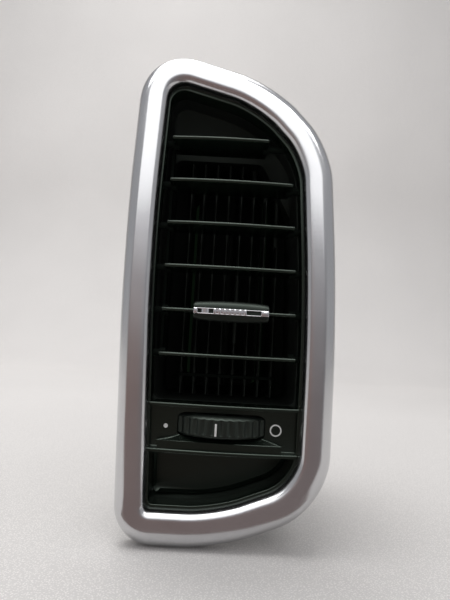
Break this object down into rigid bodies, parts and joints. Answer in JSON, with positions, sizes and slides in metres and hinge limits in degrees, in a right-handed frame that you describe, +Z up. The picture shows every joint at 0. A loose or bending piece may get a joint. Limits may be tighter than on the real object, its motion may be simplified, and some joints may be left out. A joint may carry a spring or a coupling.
{
  "type": "dashboard air vent",
  "caption": "Tall dashboard air vent: satin trim ring, tilting vanes moved by a chrome slider, upright rear vanes, and a thumbwheel that turns a damper in the duct.",
  "frame": {"origin": "middle of the trim ring's lower seat, on the plane that meets the dash", "axes": "+Z up along the tall side, +Y into the dash, +X to the right as the driver sees it"},
  "size_m": [0.0891, 0.1046, 0.2026],
  "materials": {
    "satin_trim": "satin",
    "black_plastic": "satin black",
    "housing_plastic": "fine grain, matt",
    "chrome_trim": "bright",
    "steel": "bright rolled",
    "foam": "open-cell foam",
    "rubber": "matt"
  },
  "bodies": {
    "frame": {"trim_ring": "satin_trim", "inner_bezel": "black_plastic", "air_housing": "housing_plastic", "duct_housing": "housing_plastic", "duct_seal": "foam", "control_panel": "black_plastic", "wheel_axle": "steel", "wheel_cradle": "housing_plastic", "lower_tray": "black_plastic", "clip_left_lower": "steel", "clip_right_lower": "steel", "clip_left_upper": "steel", "clip_right_upper": "steel"},
    "vane_1": {"vane_1": "black_plastic"},
    "vane_2": {"vane_2": "black_plastic"},
    "vane_3": {"vane_3": "black_plastic"},
    "vane_4": {"vane_4": "black_plastic"},
    "vane_5": {"vane_5": "black_plastic"},
    "vane_6": {"vane_6": "black_plastic"},
    "vane_link": {"vane_link": "black_plastic"},
    "slider": {"slider_body": "black_plastic", "slider_trim": "chrome_trim"},
    "rear_vane_1": {"rear_vane_1": "black_plastic"},
    "rear_vane_2": {"rear_vane_2": "black_plastic"},
    "rear_vane_3": {"rear_vane_3": "black_plastic"},
    "rear_vane_4": {"rear_vane_4": "black_plastic"},
    "rear_vane_5": {"rear_vane_5": "black_plastic"},
    "rear_vane_6": {"rear_vane_6": "black_plastic"},
    "rear_vane_7": {"rear_vane_7": "black_plastic"},
    "rear_vane_8": {"rear_vane_8": "black_plastic"},
    "rear_link": {"rear_vane_link": "black_plastic"},
    "thumbwheel": {"thumbwheel": "black_plastic"},
    "damper": {"damper_flap": "housing_plastic", "flap_seal_left": "rubber", "flap_seal_right": "rubber", "damper_crank": "housing_plastic"},
    "damper_link": {"damper_link": "housing_plastic"}
  },
  "joints": [
    {"name": "vane_1_tilt", "type": "hinge", "parent": "frame", "child": "vane_1", "pos_m": [0, 0.0035, 0.1604], "axis": [1, 0, 0], "range_deg": [-25, 25]},
    {"name": "vane_2_tilt", "type": "hinge", "parent": "frame", "child": "vane_2", "pos_m": [0, 0.0035, 0.1421], "axis": [1, 0, 0], "range_deg": [-25, 25]},
    {"name": "vane_3_tilt", "type": "hinge", "parent": "frame", "child": "vane_3", "pos_m": [0, 0.0035, 0.1238], "axis": [1, 0, 0], "range_deg": [-25, 25]},
    {"name": "vane_4_tilt", "type": "hinge", "parent": "frame", "child": "vane_4", "pos_m": [0, 0.0035, 0.1055], "axis": [1, 0, 0], "range_deg": [-25, 25]},
    {"name": "vane_tilt", "type": "hinge", "parent": "frame", "child": "vane_5", "pos_m": [0, 0.0035, 0.0872], "axis": [1, 0, 0], "range_deg": [-25, 25]},
    {"name": "vane_6_tilt", "type": "hinge", "parent": "frame", "child": "vane_6", "pos_m": [0, 0.0035, 0.0689], "axis": [1, 0, 0], "range_deg": [-25, 25]},
    {"name": "vane_link_turn", "type": "hinge", "parent": "vane_5", "child": "vane_link", "pos_m": [0, 0.0105, 0.0872], "axis": [1, 0, 0], "range_deg": [-25, 25]},
    {"name": "slider_slide", "type": "slide", "parent": "vane_5", "child": "slider", "axis": [1, 0, 0], "range_m": [-0.006, 0.006]},
    {"name": "rear_vane_1_turn", "type": "hinge", "parent": "frame", "child": "rear_vane_1", "pos_m": [-0.0204, 0.028, 0.1], "axis": [0, 0, 1], "range_deg": [-30, 30]},
    {"name": "rear_vane_2_turn", "type": "hinge", "parent": "frame", "child": "rear_vane_2", "pos_m": [-0.0145, 0.028, 0.1], "axis": [0, 0, 1], "range_deg": [-30, 30]},
    {"name": "rear_vane_3_turn", "type": "hinge", "parent": "frame", "child": "rear_vane_3", "pos_m": [-0.0086, 0.028, 0.1], "axis": [0, 0, 1], "range_deg": [-30, 30]},
    {"name": "rear_vane_4_turn", "type": "hinge", "parent": "frame", "child": "rear_vane_4", "pos_m": [-0.0027, 0.028, 0.1], "axis": [0, 0, 1], "range_deg": [-30, 30]},
    {"name": "rear_vane_5_turn", "type": "hinge", "parent": "frame", "child": "rear_vane_5", "pos_m": [0.0032, 0.028, 0.1], "axis": [0, 0, 1], "range_deg": [-30, 30]},
    {"name": "rear_vane_6_turn", "type": "hinge", "parent": "frame", "child": "rear_vane_6", "pos_m": [0.0091, 0.028, 0.1], "axis": [0, 0, 1], "range_deg": [-30, 30]},
    {"name": "rear_vane_7_turn", "type": "hinge", "parent": "frame", "child": "rear_vane_7", "pos_m": [0.015, 0.028, 0.1], "axis": [0, 0, 1], "range_deg": [-30, 30]},
    {"name": "rear_vane_8_turn", "type": "hinge", "parent": "frame", "child": "rear_vane_8", "pos_m": [0.0209, 0.028, 0.1], "axis": [0, 0, 1], "range_deg": [-30, 30]},
    {"name": "rear_link_turn", "type": "hinge", "parent": "rear_vane_5", "child": "rear_link", "pos_m": [0.0032, 0.0202, 0.059], "axis": [0, 0, 1], "range_deg": [-30, 30]},
    {"name": "wheel_turn", "type": "hinge", "parent": "frame", "child": "thumbwheel", "pos_m": [-0.0007, 0.0177, 0.0404], "axis": [0, 0, 1], "range_deg": [-34, 50]},
    {"name": "damper_turn", "type": "hinge", "parent": "frame", "child": "damper", "pos_m": [-0.0007, 0.0662, 0.1], "axis": [0, 0, 1], "range_deg": [-34, 50]},
    {"name": "damper_link_turn", "type": "hinge", "parent": "thumbwheel", "child": "damper_link", "pos_m": [0.0093, 0.0177, 0.0323], "axis": [0, 0, 1], "range_deg": [-50, 34]}
  ],
  "couplings": [
    {"joint": "vane_1_tilt", "follows": "vane_tilt", "ratio": 1},
    {"joint": "vane_2_tilt", "follows": "vane_tilt", "ratio": 1},
    {"joint": "vane_3_tilt", "follows": "vane_tilt", "ratio": 1},
    {"joint": "vane_4_tilt", "follows": "vane_tilt", "ratio": 1},
    {"joint": "vane_6_tilt", "follows": "vane_tilt", "ratio": 1},
    {"joint": "vane_link_turn", "follows": "vane_tilt", "ratio": -1},
    {"joint": "rear_vane_1_turn", "follows": "slider_slide", "rad_per_m": 86},
    {"joint": "rear_vane_2_turn", "follows": "slider_slide", "rad_per_m": 86},
    {"joint": "rear_vane_3_turn", "follows": "slider_slide", "rad_per_m": 86},
    {"joint": "rear_vane_4_turn", "follows": "slider_slide", "rad_per_m": 86},
    {"joint": "rear_vane_5_turn", "follows": "slider_slide", "rad_per_m": 86},
    {"joint": "rear_vane_6_turn", "follows": "slider_slide", "rad_per_m": 86},
    {"joint": "rear_vane_7_turn", "follows": "slider_slide", "rad_per_m": 86},
    {"joint": "rear_vane_8_turn", "follows": "slider_slide", "rad_per_m": 86},
    {"joint": "rear_link_turn", "follows": "slider_slide", "rad_per_m": -86},
    {"joint": "damper_turn", "follows": "wheel_turn", "ratio": 1},
    {"joint": "damper_link_turn", "follows": "wheel_turn", "ratio": -1}
  ]
}
